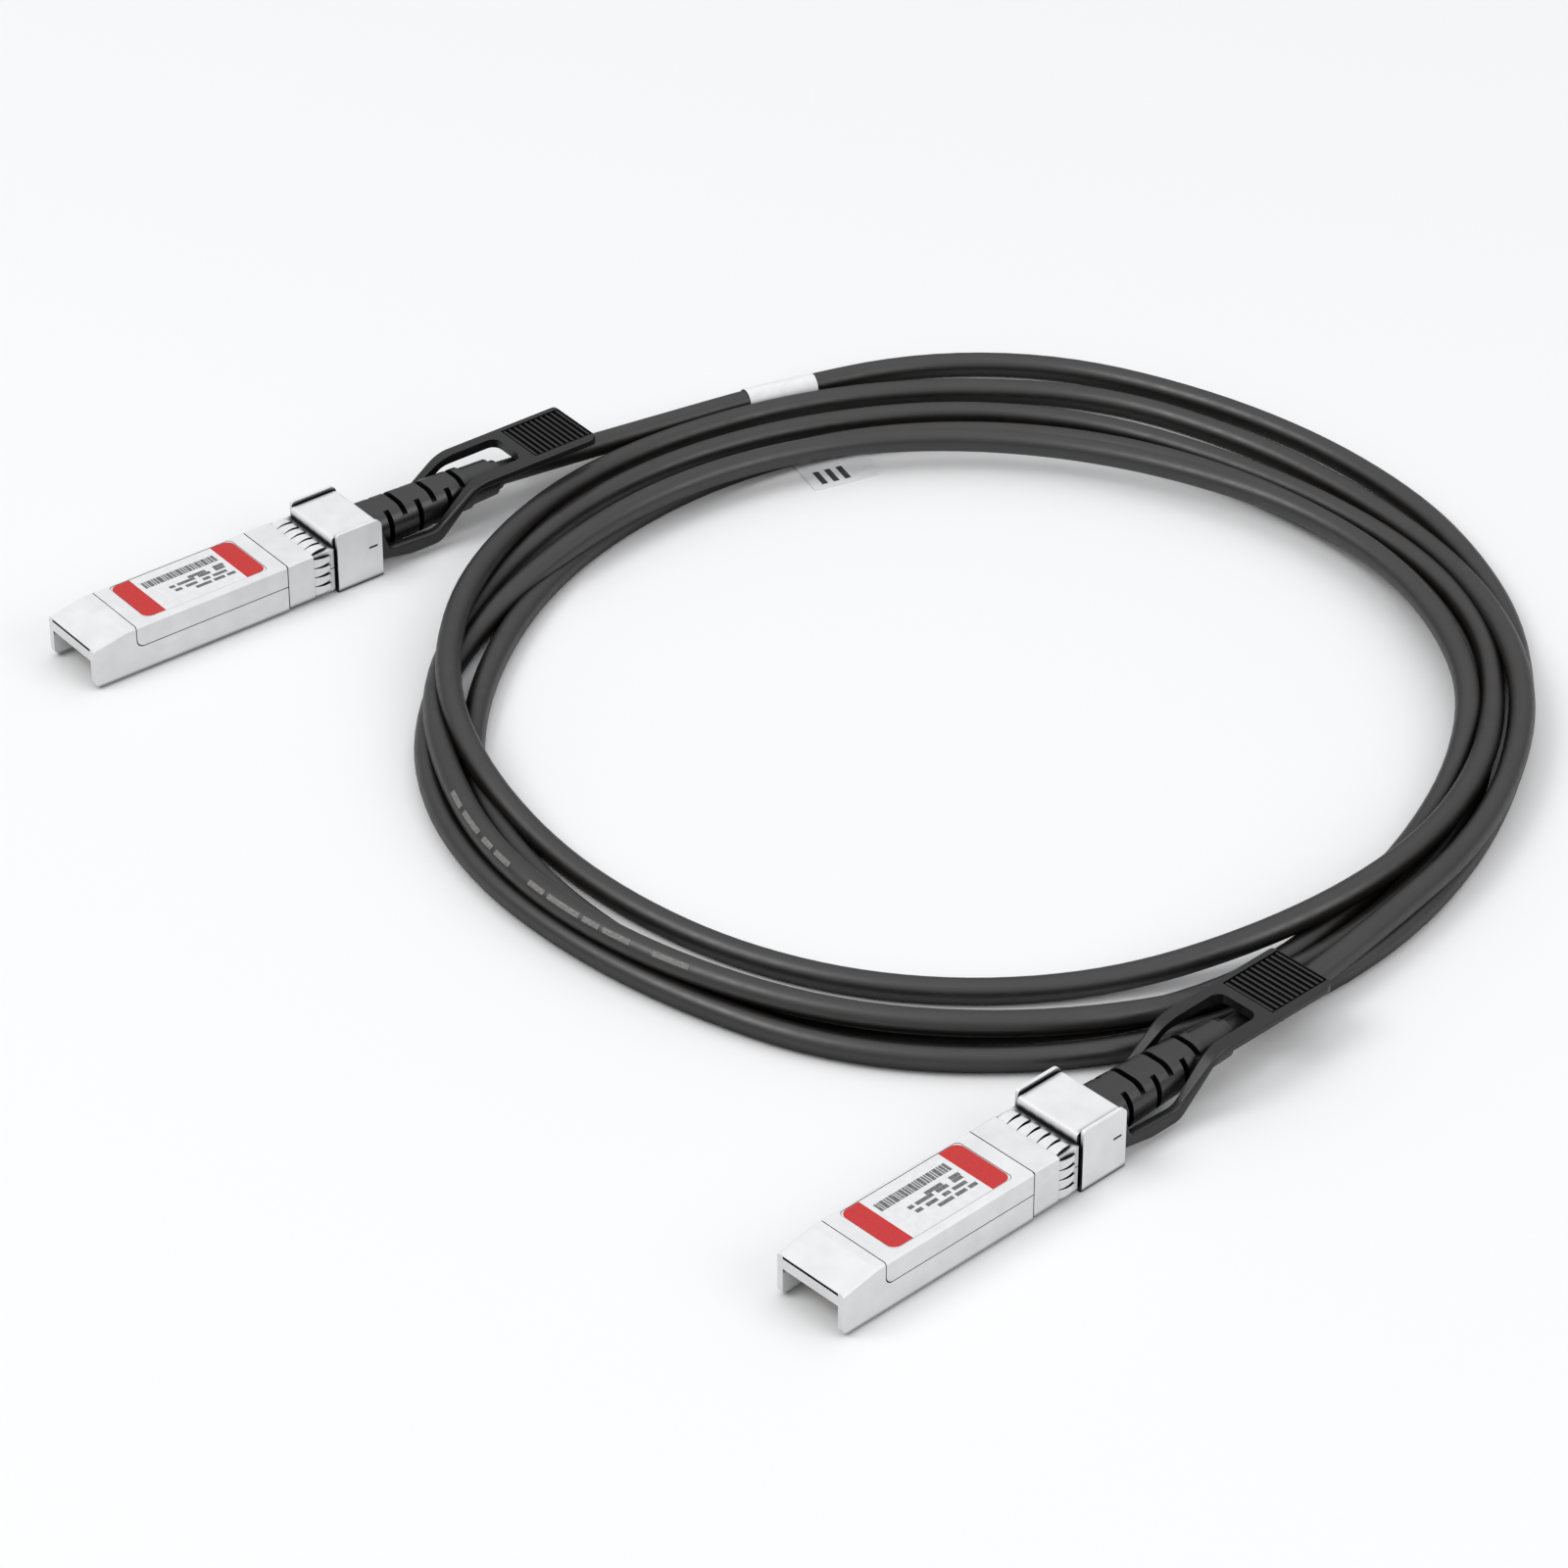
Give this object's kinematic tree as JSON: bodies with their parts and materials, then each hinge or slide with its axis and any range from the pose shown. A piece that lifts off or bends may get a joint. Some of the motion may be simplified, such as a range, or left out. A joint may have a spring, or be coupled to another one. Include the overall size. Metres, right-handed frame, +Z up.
{
  "type": "direct attach copper cable",
  "caption": "Coiled twin-axial copper cord with a latching pluggable transceiver-style plug, slotted strain relief and black pull tab on each end.",
  "frame": {"origin": "under the middle of the two plugs, on the surface the cable lies on", "axes": "+X along plug a from its nose end to its rear, +Y from plug b towards plug a, +Z up"},
  "size_m": [0.2152, 0.217, 0.0113],
  "materials": {
    "die_cast": "satin nickel plate",
    "spring_sheet": "satin",
    "bracket_sheet": "satin nickel plate",
    "spring_wire": "bright",
    "circuit_board": "green solder mask",
    "gold_contacts": "hard gold",
    "chip": "matt black",
    "core_insulation": "satin",
    "ferrule": "tinned",
    "boot_rubber": "satin black",
    "tab_nylon": "satin black",
    "label_paper": "white, with two red blocks and grey bars",
    "screw_steel": "bright",
    "cord_jacket": "dull dark grey",
    "flag_vinyl": "white"
  },
  "bodies": {
    "cable": {"plug_a_housing_base": "die_cast", "plug_b_housing_base": "die_cast", "plug_a_housing_cover": "die_cast", "plug_b_housing_cover": "die_cast", "plug_a_emi_collar": "spring_sheet", "plug_b_emi_collar": "spring_sheet", "plug_a_return_springs": "spring_wire", "plug_b_return_springs": "spring_wire", "plug_a_circuit_board": "circuit_board", "plug_b_circuit_board": "circuit_board", "plug_a_edge_contacts": "gold_contacts", "plug_b_edge_contacts": "gold_contacts", "plug_a_memory_chip": "chip", "plug_b_memory_chip": "chip", "plug_a_wire_pairs": "core_insulation", "plug_b_wire_pairs": "core_insulation", "plug_a_shield_ferrule": "ferrule", "plug_b_shield_ferrule": "ferrule", "plug_a_strain_relief": "boot_rubber", "plug_b_strain_relief": "boot_rubber", "plug_a_label": "label_paper", "plug_b_label": "label_paper", "plug_a_screws": "screw_steel", "plug_b_screws": "screw_steel", "cable_tail_a": "cord_jacket", "cable_coil": "cord_jacket", "cable_tail_b": "cord_jacket", "length_flag": "flag_vinyl"},
    "latch_a": {"plug_a_latch_bracket": "bracket_sheet", "plug_a_pull_tab": "tab_nylon"},
    "latch_b": {"plug_b_latch_bracket": "bracket_sheet", "plug_b_pull_tab": "tab_nylon"}
  },
  "joints": [
    {"name": "latch_a_release", "type": "slide", "parent": "cable", "child": "latch_a", "axis": [1, 0, 0], "range_m": [0, 0.0025], "stiffness_N_per_m": 600, "deforming": ["plug_a_return_springs"]},
    {"name": "latch_b_release", "type": "slide", "parent": "cable", "child": "latch_b", "axis": [0.9954, 0.0958, 0], "range_m": [0, 0.0025], "stiffness_N_per_m": 600, "deforming": ["plug_b_return_springs"]}
  ]
}
